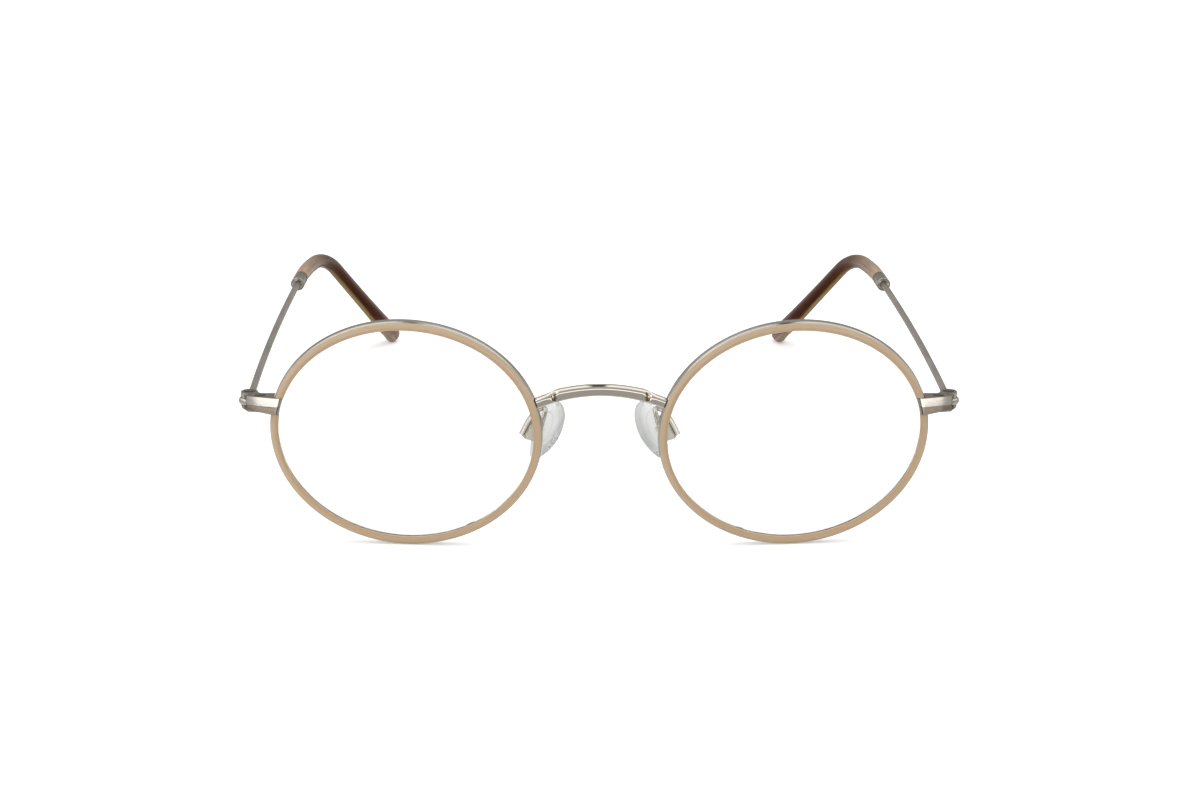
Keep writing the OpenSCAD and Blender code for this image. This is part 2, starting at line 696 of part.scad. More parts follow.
// The straight end of the arm, along the back of the box
box_spine = pad_pivot - pad_face * (box_back + cheek + seam + arm_radius);
arm_top = box_spine + pad_up * 0.8;
arm_end = box_spine - pad_up * 1.7;
arm_apex = [arm_start.x - 0.9, mix(arm_start.y, arm_end.y, 0.45), split_z - 0.9];
function curve_at(a, b, c, d, t) =
    a * pow(1 - t, 3) + b * 3 * t * pow(1 - t, 2) + c * 3 * t * t * (1 - t) + d * pow(t, 3);
arm_steps = 11;
arm_path = concat(
    [for (i = [0 : arm_steps]) curve_at(arm_start, arm_start + arm_leaves * 1.7,
        arm_apex + [0, -1.4, -0.4], arm_apex, i / arm_steps)],
    [for (i = [1 : arm_steps]) curve_at(arm_apex, arm_apex + [0.1, 1.2, 0.3],
        arm_top + pad_up * 1.9, arm_top, i / arm_steps)],
    [arm_end]);
module pad_arm() color(metal) stand() {
    outline = soft_outline(wire_sides, 1);
    last = len(arm_path) - 1;
    across = [1, 0, 0];
    rings = [for (i = [0 : last])
        let (forward = i == 0 ? arm_leaves
            : i >= last - 1 ? -pad_up
            : unit(arm_path[i + 1] - arm_path[i - 1]))
        path_ring(arm_path[i], forward, across, outline, arm_radius, arm_radius)];
    skin(rings, arm_path[0], arm_path[last]);
}

bridge();
right() eyewire();  // right_eyewire
left() eyewire();  // left_eyewire
right() rim_inlay();  // right_rim_inlay
left() rim_inlay();  // left_rim_inlay
right() lens();  // right_lens
left() lens();  // left_lens
right() endpiece();  // right_endpiece
left() endpiece();  // left_endpiece
right() closing_block();  // right_closing_block
left() closing_block();  // left_closing_block
right() rim_lock_screw();  // right_rim_lock_screw
left() rim_lock_screw();  // left_rim_lock_screw
right() hinge_screw();  // right_hinge_screw
left() hinge_screw();  // left_hinge_screw
right() temple_knuckle();  // right_temple_knuckle
left() temple_knuckle();  // left_temple_knuckle
right() temple_wire();  // right_temple_wire
left() temple_wire();  // left_temple_wire
right() ferrule();  // right_ferrule
left() ferrule();  // left_ferrule
right() temple_tip();  // right_temple_tip
left() temple_tip();  // left_temple_tip
right() pad_arm();  // right_pad_arm
left() pad_arm();  // left_pad_arm
right() pad_box();  // right_pad_box
left() pad_box();  // left_pad_box
right() nose_pad();  // right_nose_pad
left() nose_pad();  // left_nose_pad
right() pad_screw();  // right_pad_screw
left() pad_screw();  // left_pad_screw
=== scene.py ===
"""Looks of the round wire eyeglasses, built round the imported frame."""
import json
import math
from math import cos, radians, sin, tan

import bmesh
import bpy
from mathutils import Euler, Matrix, Vector


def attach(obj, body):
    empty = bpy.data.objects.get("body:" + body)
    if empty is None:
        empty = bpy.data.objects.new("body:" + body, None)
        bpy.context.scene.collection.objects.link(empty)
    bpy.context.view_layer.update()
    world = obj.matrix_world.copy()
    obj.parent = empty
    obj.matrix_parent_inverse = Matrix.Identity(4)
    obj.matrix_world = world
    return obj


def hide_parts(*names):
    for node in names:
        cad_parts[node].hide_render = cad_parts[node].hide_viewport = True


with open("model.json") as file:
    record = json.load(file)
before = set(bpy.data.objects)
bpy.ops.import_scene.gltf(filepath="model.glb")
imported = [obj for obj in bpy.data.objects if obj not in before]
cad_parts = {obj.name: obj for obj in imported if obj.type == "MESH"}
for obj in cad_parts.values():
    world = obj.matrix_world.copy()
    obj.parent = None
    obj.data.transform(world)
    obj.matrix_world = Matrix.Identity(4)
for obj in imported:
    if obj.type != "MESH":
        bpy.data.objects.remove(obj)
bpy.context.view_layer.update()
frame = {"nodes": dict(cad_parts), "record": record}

# Pieces are shaped in millimetres and finished in metres
MM = 0.001

# Lenses and front, as in the part's source
LENS_WIDTH = 46.6
LENS_HEIGHT = 42
LENS_THICKNESS = 1.8
LENS_CURVE = 110
NOSE_GAP = 22.6
FRONT_LEAN = radians(8.4)
FACE_WRAP = radians(4.5)

# Rims
RIM_OUTSIDE = 0.95
RIM_LAP = 0.55
RIM_BACK = 1.0
RIM_FRONT = 0.7
GROOVE_HALF = 0.5
GROOVE_FLOOR = 0.05
REBATE = 0.12
INLAY_DEPTH = 0.48
INLAY_MARGIN = 0.17
INLAY_TURN = 0.22
FACET_BACK = 0.3
FACET_IN = 0.1
# The rings here are rounder than the CAD's, so they stay this far inside its box
EASE = 0.02

# Bridge
BRIDGE_HEIGHT = 2.05
BRIDGE_SHOULDER = 2.15
BRIDGE_FOOT = 1.8
BRIDGE_DEPTH = 1.7
BRIDGE_RISE = 2.4
BRIDGE_ANGLE = radians(17.5)
BRIDGE_CORNER = 0.25
BRIDGE_CROWN = 0.6
BRIDGE_ROUNDING = 0.16
WAIST_AT = 8.1
WAIST_DEPTH = 0.35
WAIST_REACH = 0.42
WAIST_CHAMFER = 0.4
CHAMFER_REACH = 1.1

# Rim lock and hinge
SPLIT_ANGLE = radians(11.6)
ENDPIECE_HEIGHT = 1.62
CLOSING_HEIGHT = 1.45
HINGE_BACK = 3.45
KNUCKLE_REACH = 1.6
SEAM = 0.02
FREE_GAP = 0.15
WRAP_REACH = 1.0
LIP_HEIGHT = 0.4

# Temples and tips
WIRE_WIDTH = 1.25
WIRE_HEIGHT = 1.15
TEMPLE_TO_BEND = 91
BEND_RADIUS = 15
TIP_FALL = radians(43)
TEMPLE_TOE = radians(1)
BOW_RADIUS = 1140
CURL_RADIUS = 51
CURL_LEAD = 9.5
CURL_LENGTH = 18.5
TIP_WIDTH = 2.8
TIP_HEIGHT = 2.8
PADDLE_WIDTH = 3.0
PADDLE_HEIGHT = 3.9
FERRULE_LENGTH = 5
FERRULE_RADIUS = 1.36
CONE_DEPTH = 0.35
TIP_LEAD = 10.5
PADDLE_FLARE = 5
SHANK_LENGTH = 3

# Nose pads
PAD_LENGTH = 11.6
PAD_WIDTH = 7.8
PAD_THICKNESS = 2.1
PAD_LEAN = radians(26)
PAD_SPLAY = radians(28)
PAD_STEM = 3
ARM_THICK = 0.85
ARM_ANGLE = radians(178)
LUG_WIDTH = 1.2
LUG_RADIUS = 0.8
CHEEK = 0.45

SIDES = {"left": 1, "right": -1}
joints = {joint["name"]: joint for joint in frame["record"]["behaviour"]["joints"]}


def mix(a, b, share):
    return a + (b - a) * share


def clamp(value):
    return max(0.0, min(1.0, value))


def grey(level):
    return (level, level, level, 1)


# Lens frame: X towards the temple, Z up, Y back from the front of the lens
def edge_outward(angle):
    return Vector((cos(angle) / LENS_WIDTH, 0, sin(angle) / LENS_HEIGHT)).normalized()


def curve_sag(x, z):
    return LENS_CURVE - math.sqrt(LENS_CURVE ** 2 - x * x - z * z)


def edge_point(angle, out, back):
    """Point of the lens edge at this angle, moved out from it and back"""
    x = LENS_WIDTH / 2 * cos(angle)
    z = LENS_HEIGHT / 2 * sin(angle)
    outward = edge_outward(angle)
    return Vector((x + outward.x * out, curve_sag(x, z) + back, z + outward.z * out))


lean = Matrix.Rotation(FRONT_LEAN, 4, "X")
wrap = Matrix.Translation(((LENS_WIDTH + NOSE_GAP) / 2, 0, 0)) @ Matrix.Rotation(FACE_WRAP, 4, "Z")
in_front = lean @ wrap
lens_z = -min((in_front @ edge_point(radians(a), RIM_OUTSIDE, -RIM_FRONT)).z for a in range(0, 360, 2))
split_at = in_front @ edge_point(SPLIT_ANGLE, RIM_OUTSIDE, 0) + Vector((0, 0, lens_z))

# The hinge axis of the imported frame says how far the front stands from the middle
hinge = Vector(joints["left_temple_fold"]["pos_m"]) / MM
stand_y = hinge.y - (split_at.y - RIM_FRONT - FREE_GAP / 3 + HINGE_BACK)
stand = Matrix.Translation((0, stand_y, lens_z))
on_lens = stand @ in_front
on_front = stand @ lean

# Angles round the lens at which the rim and its inlay start and end
turn_per_mm = 2 / LENS_HEIGHT
rim_from = SPLIT_ANGLE + 3 * SEAM * turn_per_mm
rim_to = SPLIT_ANGLE + math.tau - 3 * SEAM * turn_per_mm
inlay_from = SPLIT_ANGLE + (ENDPIECE_HEIGHT + FREE_GAP / 2) * turn_per_mm
inlay_to = SPLIT_ANGLE + math.tau - (CLOSING_HEIGHT + FREE_GAP / 2) * turn_per_mm


class Nodes:
    """A node tree, with short ways to add, feed and join its nodes"""

    def __init__(self, tree):
        self.tree = tree

    def feed(self, socket, source):
        """Joins an output to the socket, or sets a plain value on it"""
        if isinstance(source, bpy.types.NodeSocket):
            self.tree.links.new(source, socket)
        else:
            socket.default_value = source

    def add(self, kind, **sources):
        node = self.tree.nodes.new(kind)
        for label, source in sources.items():
            self.feed(node.inputs[label.replace("_", " ")], source)
        return node

    def maths(self, operation, *sources):
        node = self.add("ShaderNodeMath")
        node.operation = operation
        for socket, source in zip(node.inputs, sources):
            self.feed(socket, source)
        return node.outputs[0]

    def spread(self, value, from_min, from_max, to_min=0.0, to_max=1.0, curve="LINEAR"):
        """A value brought from one range into another, and held inside it"""
        node = self.add("ShaderNodeMapRange", Value=value, From_Min=from_min, From_Max=from_max,
                        To_Min=to_min, To_Max=to_max)
        node.interpolation_type = curve
        return node.outputs["Result"]

    def blend(self, share, first, second, way="MIX"):
        node = self.add("ShaderNodeMix")
        node.data_type = "RGBA"
        node.blend_type = way
        for label, source in (("Factor", share), ("A", first), ("B", second)):
            self.feed(node.inputs[label], source)
        return node.outputs["Result"]

    def ramp(self, value, *stops):
        """A colour that runs through stops, each with its position"""
        node = self.add("ShaderNodeValToRGB", Fac=value)
        elements = node.color_ramp.elements
        for element, (position, colour) in ((elements[1], stops[-1]), (elements[0], stops[0])):
            element.position = position
            element.color = colour
        for position, colour in stops[1:-1]:
            elements.new(position).color = colour
        return node.outputs["Color"]

    def noise(self, place, scale, detail, roughness=0.5):
        node = self.add("ShaderNodeTexNoise", Vector=place, Scale=scale, Detail=detail, Roughness=roughness)
        return node.outputs["Fac"]

    def axes(self, vector):
        return self.add("ShaderNodeSeparateXYZ", Vector=vector).outputs


# Shader node groups that more than one finish uses
def node_group(name, inputs, outputs):
    """A new group with these sockets, the values that it is given, and its output node"""
    tree = bpy.data.node_groups.new(name, "ShaderNodeTree")
    for label, kind in inputs:
        tree.interface.new_socket(name=label, in_out="INPUT", socket_type=kind)
    for label, kind in outputs:
        tree.interface.new_socket(name=label, in_out="OUTPUT", socket_type=kind)
    return Nodes(tree), tree.nodes.new("NodeGroupInput").outputs, tree.nodes.new("NodeGroupOutput")


def make_fine_grain():
    """Fine grain: a roughness that wanders between two values, and a height for bump"""
    patch_scale = 160.0
    nodes, given, out = node_group("fine_grain", [
        ("Vector", "NodeSocketVector"),
        ("Scale", "NodeSocketFloat"),
        ("Smoothest", "NodeSocketFloat"),
        ("Roughest", "NodeSocketFloat"),
    ], [("Roughness", "NodeSocketFloat"), ("Height", "NodeSocketFloat")])
    patches = nodes.noise(given["Vector"], patch_scale, 2.0)
    roughness = nodes.spread(patches, 0.35, 0.65, given["Smoothest"], given["Roughest"])
    nodes.feed(out.inputs["Roughness"], roughness)
    nodes.feed(out.inputs["Height"], nodes.noise(given["Vector"], given["Scale"], 3.0))
    return nodes.tree


def make_colour_drift():
    """A colour that drifts softly between two shades"""
    nodes, given, out = node_group("colour_drift", [
        ("Vector", "NodeSocketVector"),
        ("Scale", "NodeSocketFloat"),
        ("First", "NodeSocketColor"),
        ("Second", "NodeSocketColor"),
    ], [("Color", "NodeSocketColor")])
    share = nodes.spread(nodes.noise(given["Vector"], given["Scale"], 2.0), 0.3, 0.7)
    nodes.feed(out.inputs["Color"], nodes.blend(share, given["First"], given["Second"]))
    return nodes.tree


fine_grain = make_fine_grain()
colour_drift = make_colour_drift()


class Finish(Nodes):
    """A new material round the Principled shader"""

    def __init__(self, name, **sources):
        self.material = bpy.data.materials.new(name)
        self.material.use_nodes = True
        super().__init__(self.material.node_tree)
        self.shader = self.tree.nodes["Principled BSDF"]
        self.surface = self.tree.nodes["Material Output"].inputs["Surface"]
        self.place = self.add("ShaderNodeTexCoord").outputs["Object"]
        self.wear(**sources)

    def wear(self, **sources):
        """Feeds the shader itself"""
        for label, source in sources.items():
            self.feed(self.shader.inputs[label.replace("_", " ")], source)

    def group(self, tree, **values):
        node = self.add("ShaderNodeGroup")
        node.node_tree = tree
        for label, value in values.items():
            node.inputs[label].default_value = value
        self.feed(node.inputs["Vector"], self.place)
        return node.outputs

    def drift(self, scale, first, second):
        return self.group(colour_drift, Scale=scale, First=first, Second=second)["Color"]

    def grain(self, scale, smoothest, roughest, relief, distance=0.00005):
        """Gives the shader its roughness and fine relief, and returns the roughness"""
        grain = self.group(fine_grain, Scale=scale, Smoothest=smoothest, Roughest=roughest)
        bump = self.add("ShaderNodeBump", Strength=relief, Distance=distance, Height=grain["Height"])
        self.wear(Roughness=grain["Roughness"], Normal=bump.outputs["Normal"])
        return grain["Roughness"]

    def attribute(self, name):
        node = self.add("ShaderNodeAttribute")
        node.attribute_name = name
        return node.outputs["Fac"]

    def run(self):
        """The UV map that runs along in U and around in V"""
        node = self.add("ShaderNodeUVMap")
        node.uv_map = "run"
        return node.outputs["UV"]


def plated(name, first, second, smoothest, roughest, relief, edge=(0.6, 0.58, 0.55, 1)):
    """Plated metal that drifts between two shades, with a fine grain and its own tint at the edges"""
    drift_scale = 45.0
    grain_scale = 1400.0
    finish = Finish(name, Metallic=1.0, Specular_Tint=edge)
    finish.plain = finish.drift(drift_scale, first, second)
    finish.smooth = finish.grain(grain_scale, smoothest, roughest, relief)
    finish.wear(Base_Color=finish.plain)
    return finish


# Each metal with its two shades, its smoothest and its roughest, and the strength of its relief
satin_metal = plated("satin_metal", (0.68, 0.65, 0.59, 1), (0.76, 0.73, 0.66, 1), 0.16, 0.24, 0.2).material
# The closing block's metal is a darker, warmer copy of the satin metal: painted shade
warm_metal = plated("warm_metal", (0.40, 0.34, 0.27, 1), (0.45, 0.38, 0.31, 1), 0.2, 0.3, 0.2).material
ferrule_metal = plated("ferrule_metal", (0.60, 0.57, 0.51, 1), (0.68, 0.65, 0.59, 1), 0.2, 0.3, 0.2).material
wire_metal = plated("wire_metal", (0.66, 0.63, 0.58, 1), (0.73, 0.70, 0.65, 1), 0.26, 0.36, 0.2).material
box_metal = plated("box_metal", (0.72, 0.67, 0.59, 1), (0.80, 0.75, 0.67, 1), 0.15, 0.25, 0.15).material
screw_steel = plated("screw_steel", (0.34, 0.32, 0.29, 1), (0.42, 0.40, 0.36, 1), 0.16, 0.28, 0.2).material


def make_polished_metal():
    """Bright plating, polished in front and milled on top, where the cutter left its grain. Upward faces and
    the knuckle also take a darker colour, which is painted shade.
    """
    # Painted shade: upward faces take this darker colour, beside the rougher grain of the real milling
    painted_top_shade = (0.50, 0.46, 0.40, 1)
    milled_roughness = 0.3
    finish = plated("polished_metal", (0.88, 0.82, 0.73, 1), (0.93, 0.88, 0.80, 1), 0.07, 0.14, 0.08)
    milled_and_shaded = finish.attribute("milled_and_shaded")
    finish.wear(Base_Color=finish.blend(milled_and_shaded, finish.plain, painted_top_shade),
                Roughness=finish.spread(milled_and_shaded, 0.0, 1.0, finish.smooth, milled_roughness))
    return finish.material


def make_bridge_metal():
    """Brightly polished plating with brown patina in the carved waists"""
    patina = (0.16, 0.10, 0.05, 1)
    finish = plated("bridge_metal", (0.93, 0.86, 0.74, 1), (0.97, 0.91, 0.80, 1), 0.05, 0.09, 0.02,
                    edge=(0.95, 0.93, 0.88, 1))
    finish.wear(Base_Color=finish.blend(finish.attribute("patina"), finish.plain, patina))
    return finish.material


def make_inlay():
    """Smooth beige inlay, glossy, with painted shade along its inner edge where the crown falls away, darker
    and warmer there
    """
    inner_painted_shade = (0.57, 0.385, 0.22, 1)
    inner_shade_range = (0.45, 0.8)
    finish = Finish("beige_inlay", IOR=1.5, Coat_Weight=0.35, Coat_Roughness=0.12)
    shade = finish.drift(60.0, (0.58, 0.43, 0.28, 1), (0.63, 0.47, 0.31, 1))
    # Painted shade: the inner edge of the ring turns darker and warmer
    inner_shade_share = finish.spread(finish.axes(finish.run())["Y"], *inner_shade_range)
    finish.wear(Base_Color=finish.blend(inner_shade_share, shade, inner_painted_shade))
    finish.grain(700.0, 0.28, 0.36, 0.06)
    return finish.material


def make_tip_brown():
    """Streaky brown moulding: dark red-brown behind the bend and lighter at the round end, with a painted
    reflection that makes it tan at the ferrule, and painted light shining through it, honey below
    """
    painted_underside_light = (0.36, 0.25, 0.10, 1)
    underside_at = 0.78
    streaks = (5.0, 9.0, 1.0)
    shift = 0.05
    finish = Finish("brown_tip", IOR=1.49, Specular_IOR_Level=0.14, Coat_Weight=0.06, Coat_Roughness=0.05,
                    Subsurface_Weight=0.06, Subsurface_Radius=(1.0, 0.4, 0.15), Subsurface_Scale=0.0012)
    run = finish.run()
    axes = finish.axes(run)
    along = axes["X"]

    # Streaks run along the tip
    stretch = finish.add("ShaderNodeVectorMath")
    stretch.operation = "MULTIPLY"
    finish.feed(stretch.inputs[0], run)
    finish.feed(stretch.inputs[1], streaks)
    streak = finish.noise(stretch.outputs["Vector"], 1.0, 3.0, 0.6)

    # Colour along the tip, moved a little back and forth by the streaks; its first tan stops, by the ferrule,
    # are a painted reflection
    moved = finish.maths("ADD", along, finish.spread(streak, 0.3, 0.7, -shift, shift))
    brown = finish.ramp(
        moved,
        (0.0, (0.46, 0.29, 0.16, 1)),
        (0.10, (0.35, 0.26, 0.18, 1)),
        (0.22, (0.25, 0.185, 0.135, 1)),
        (0.34, (0.105, 0.052, 0.026, 1)),
        (0.48, (0.062, 0.017, 0.004, 1)),
        (0.78, (0.052, 0.013, 0.003, 1)),
        (0.88, (0.17, 0.075, 0.038, 1)),
        (1.0, (0.36, 0.19, 0.11, 1)))

    # Painted light shining through the tip: the honey-coloured underside starts behind the bend
    off_underside = finish.maths("ABSOLUTE", finish.maths("SUBTRACT", axes["Y"], underside_at))
    underside_light_share = finish.spread(off_underside, 0.05, 0.15, 0.85, 0.0, "SMOOTHSTEP")
    starts = finish.spread(along, 0.30, 0.62, 0.3)
    colour = finish.blend(finish.maths("MULTIPLY", underside_light_share, starts), brown, painted_underside_light)

    # The streaks lighten and darken it too
    mottle = finish.add("ShaderNodeVectorMath")
    mottle.operation = "SCALE"
    finish.feed(mottle.inputs[0], colour)
    finish.feed(mottle.inputs["Scale"], finish.spread(streak, 0.35, 0.7, 0.7, 1.25))
    finish.wear(Base_Color=mottle.outputs["Vector"])
    finish.grain(500.0, 0.12, 0.22, 0.05)
    return finish.material


def make_lens_glass():
    """Clear coated lens, which lets light through to the floor"""
    finish = Finish("clear_lens", Base_Color=(0.99, 0.995, 0.99, 1), Roughness=0.0, IOR=1.5,
                    Transmission_Weight=1.0)
    passing = finish.add("ShaderNodeBsdfTransparent", Color=(0.97, 0.975, 0.97, 1))
    choose = finish.add("ShaderNodeMixShader")
    finish.feed(choose.inputs[0], finish.add("ShaderNodeLightPath").outputs["Is Shadow Ray"])
    finish.feed(choose.inputs[1], finish.shader.outputs["BSDF"])
    finish.feed(choose.inputs[2], passing.outputs["BSDF"])
    finish.feed(finish.surface, choose.outputs["Shader"])
    return finish.material


def make_soft_pad():
    """Milky clear moulding with faint clouds, and painted shade: darker loops inside it and a darker rim
    round its edge
    """
    loop_shade_levels = ((0.0, 1.0), (0.44, 0.97), (0.50, 0.80), (0.55, 0.99), (0.80, 0.99), (0.86, 0.86), (0.92, 0.97))
    rim = (0.80, 0.81, 0.80, 1)
    finish = Finish("soft_pad", IOR=1.38, Transmission_Weight=0.65, Coat_Weight=0.2, Coat_Roughness=0.2)
    shade = finish.drift(260.0, (0.86, 0.87, 0.85, 1), (0.93, 0.94, 0.93, 1))
    # Painted shade: darker loops and rim, set by distance from the pad's middle
    loops = finish.ramp(finish.attribute("span"), *[(at, grey(level)) for at, level in loop_shade_levels], (1.0, rim))
    finish.wear(Base_Color=finish.blend(1.0, shade, loops, "MULTIPLY"))
    finish.grain(420.0, 0.25, 0.4, 0.15, 0.0001)
    return finish.material


polished_metal = make_polished_metal()
bridge_metal = make_bridge_metal()
beige_inlay = make_inlay()
tip_brown = make_tip_brown()
lens_glass = make_lens_glass()
soft_pad = make_soft_pad()


# Ways to shape a piece
def rounded(outline, reach):
    """Closed outline with each corner turned into a small curve"""
    steps = 4
    most_of_side = 0.45
    points = []
    for before, corner, after in zip(outline[-1:] + outline[:-1], outline, outline[1:] + outline[:1]):
        corner = Vector(corner)
        to_before = Vector(before) - corner
        to_after = Vector(after) - corner
        start = corner + to_before.normalized() * min(reach, to_before.length * most_of_side)
        end = corner + to_after.normalized() * min(reach, to_after.length * most_of_side)
        for step in range(steps + 1):
            share = step / steps
            points.append(mix(mix(start, corner, share), mix(corner, end, share), share))
    return points


def ring_edges(verts, bm):
    return [bm.edges.new(pair) for pair in zip(verts, verts[1:] + verts[:1])]


def close_ends(bm):
    open_edges = [edge for edge in bm.edges if edge.is_boundary]
    bmesh.ops.holes_fill(bm, edges=open_edges, sides=0)


def set_run(bm):
    """UV map named run, from each vertex's station and its place around its ring"""
    layer = bm.loops.layers.uv.new("run")
    station = bm.verts.layers.float["station"]
    around = bm.verts.layers.float["around"]
    for face in bm.faces:
        turns = [loop.vert[around] for loop in face.loops]
        wraps = max(turns) - min(turns) > 0.5
        for loop in face.loops:
            turn = loop.vert[around]
            if wraps and turn < 0.5:
                turn += 1
            loop[layer].uv = (loop.vert[station], turn)


def sweep(rings):
    """Closed skin through rings of points, drawn out from one ring to the next"""
    bm = bmesh.new()
    station = bm.verts.layers.float.new("station")
    around = bm.verts.layers.float.new("around")
    verts = [bm.verts.new(point) for point in rings[0]]
    edges = ring_edges(verts, bm)
    for number, ring in enumerate(rings):
        if number:
            drawn = bmesh.ops.extrude_edge_only(bm, edges=edges)["geom"]
            order = {tuple(vert.co): place for place, vert in enumerate(verts)}
            new = [item for item in drawn if isinstance(item, bmesh.types.BMVert)]
            verts = sorted(new, key=lambda vert: order[tuple(vert.co)])
            edges = [item for item in drawn if isinstance(item, bmesh.types.BMEdge)
                     and item.verts[0] in new and item.verts[1] in new]
        for place, (vert, point) in enumerate(zip(verts, ring)):
            vert.co = point
            vert[station] = number / (len(rings) - 1)
            vert[around] = place / len(verts)
    close_ends(bm)
    set_run(bm)
    return bm


def level_turn(angle, out, back):
    """Turn that brings a point of the section at this angle level with the blocks' faces"""
    off_level = (out - RIM_OUTSIDE) * edge_outward(angle).z + back * tan(FRONT_LEAN)
    return -off_level * turn_per_mm / cos(angle)


def oval_sweep(section, start, end, steps, level_reach=math.tau):
    """Section spun round the lens's axis, then drawn to the oval and the curve of its edge.
    Its ends are level, and level_reach is the angle in which the rings turn square to the edge."""
    slack = 0.001
    bm = bmesh.new()
    station = bm.verts.layers.float.new("station")
    around = bm.verts.layers.float.new("around")
    verts = [bm.verts.new((LENS_WIDTH / 2 + out, back, 0)) for out, back in section]
    for place, vert in enumerate(verts):
        vert[around] = place / len(verts)
    edges = ring_edges(verts, bm)
    bmesh.ops.rotate(bm, verts=verts, cent=(0, 0, 0), matrix=Matrix.Rotation(-start, 3, "Y"))
    bmesh.ops.spin(bm, geom=verts + edges, cent=(0, 0, 0), axis=(0, -1, 0), angle=end - start, steps=steps,
                   use_merge=False)
    close_ends(bm)
    for vert in bm.verts:
        past = (math.atan2(vert.co.z, vert.co.x) - start + slack) % math.tau - slack
        vert[station] = past / math.tau
        out = math.hypot(vert.co.x, vert.co.z) - LENS_WIDTH / 2
        square = min(past, end - start - past) / level_reach
        turn = level_turn(start + past, out, vert.co.y) * clamp(1 - square) if square < 1 else 0
        vert.co = edge_point(start + past + turn, out, vert.co.y)
    set_run(bm)
    bmesh.ops.transform(bm, matrix=on_lens, verts=bm.verts)
    return bm


def turned(profile, axis, steps):
    """Profile turned once round an axis, with its poles and its seam welded"""
    weld = 0.0005
    bm = bmesh.new()
    verts = [bm.verts.new(point) for point in profile]
    edges = [bm.edges.new(pair) for pair in zip(verts, verts[1:])]
    bmesh.ops.spin(bm, geom=verts + edges, cent=(0, 0, 0), axis=axis, angle=math.tau, steps=steps,
                   use_merge=True)
    bmesh.ops.remove_doubles(bm, verts=bm.verts, dist=weld)
    return bm


def softened(node, reach):
    """Merged copy of a CAD node, in millimetres, with its edges eased, and its upward faces and knuckle
    marked for milled grain and painted shade
    """
    segments = 3
    weld = 0.002
    flat = radians(1)
    sharp = radians(28)
    level = 0.9
    # Knuckles get part of the milled grain and part of the painted shade
    knuckle_shade_mark = 0.7
    bm = bmesh.new()
    bm.from_mesh(frame["nodes"][node].data)
    bmesh.ops.scale(bm, vec=(1 / MM, 1 / MM, 1 / MM), verts=bm.verts)
    bmesh.ops.remove_doubles(bm, verts=bm.verts, dist=weld)
    bmesh.ops.dissolve_limit(bm, angle_limit=flat, verts=bm.verts, edges=bm.edges)
    corners = [edge for edge in bm.edges if edge.is_manifold and edge.calc_face_angle() > sharp]
    bmesh.ops.bevel(bm, geom=corners, offset=reach, offset_type="OFFSET", affect="EDGES", segments=segments,
                    profile=0.5, material=-1, clamp_overlap=True)
    milled_and_shaded = bm.verts.layers.float.new("milled_and_shaded")
    bm.normal_update()
    for vert in bm.verts:
        on_top = min(face.normal.z for face in vert.link_faces) > level
        on_knuckle = math.hypot(abs(vert.co.x) - hinge.x, vert.co.y - hinge.y) < KNUCKLE_REACH
        vert[milled_and_shaded] = 1 if on_top else knuckle_shade_mark if on_knuckle else 0
    return bm


def join_meshes(first, *others):
    """Adds the other meshes to the first"""
    for other in others:
        mesh = bpy.data.meshes.new("joined")
        other.to_mesh(mesh)
        other.free()
        first.from_mesh(mesh)
        bpy.data.meshes.remove(mesh)
    return first


def finish_piece(bm, name, material, body, node, sign=1, crease=35):
    """Ends a piece: its side, normals, metres, object, and what it rides on and stands for"""
    if sign < 0:
        bmesh.ops.scale(bm, vec=(-1, 1, 1), verts=bm.verts)
    bmesh.ops.scale(bm, vec=(MM, MM, MM), verts=bm.verts)
    bmesh.ops.recalc_face_normals(bm, faces=bm.faces)
    for edge in bm.edges:
        edge.smooth = not edge.is_manifold or edge.calc_face_angle() < radians(crease)
    for face in bm.faces:
        face.smooth = True
    mesh = bpy.data.meshes.new(name)
    bm.to_mesh(mesh)
    bm.free()
    mesh.materials.append(material)
    piece = bpy.data.objects.new(name, mesh)
    bpy.context.scene.collection.objects.link(piece)
    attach(piece, body)
    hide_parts(node)


# Rims, with a slanted facet along the front of their outside
def rim_section(front_points):
    bevel = 0.25
    outside = RIM_OUTSIDE - EASE
    return [
        (GROOVE_FLOOR, 0),
        (-RIM_LAP, GROOVE_HALF),
        (-RIM_LAP, RIM_BACK - bevel),
        (-RIM_LAP + bevel, RIM_BACK),
        (outside - bevel, RIM_BACK),
        (outside, RIM_BACK - bevel),
        (outside, -RIM_FRONT + FACET_BACK),
        (outside - FACET_IN, -RIM_FRONT),
    ] + front_points + [(-RIM_LAP, -GROOVE_HALF)]


rebate = -RIM_FRONT + REBATE
inlay_foot = -RIM_LAP + INLAY_TURN
inlay_outside = RIM_OUTSIDE - INLAY_MARGIN
lip_outside = RIM_OUTSIDE - WRAP_REACH - FREE_GAP / 3
lip_front = -RIM_FRONT - LIP_HEIGHT
seat_section = rim_section([
    (inlay_outside, -RIM_FRONT),
    (inlay_foot, -RIM_FRONT),
    (inlay_foot, rebate),
    (-RIM_LAP, rebate),
])
# Beside the split a bare lip stands up inside the ends of the blocks
lip_section = rim_section([
    (lip_outside, -RIM_FRONT),
    (lip_outside, lip_front),
    (-RIM_LAP, lip_front),
    (-RIM_LAP, rebate),
])
OVAL_STEPS = 300
LEVEL_REACH = radians(6)


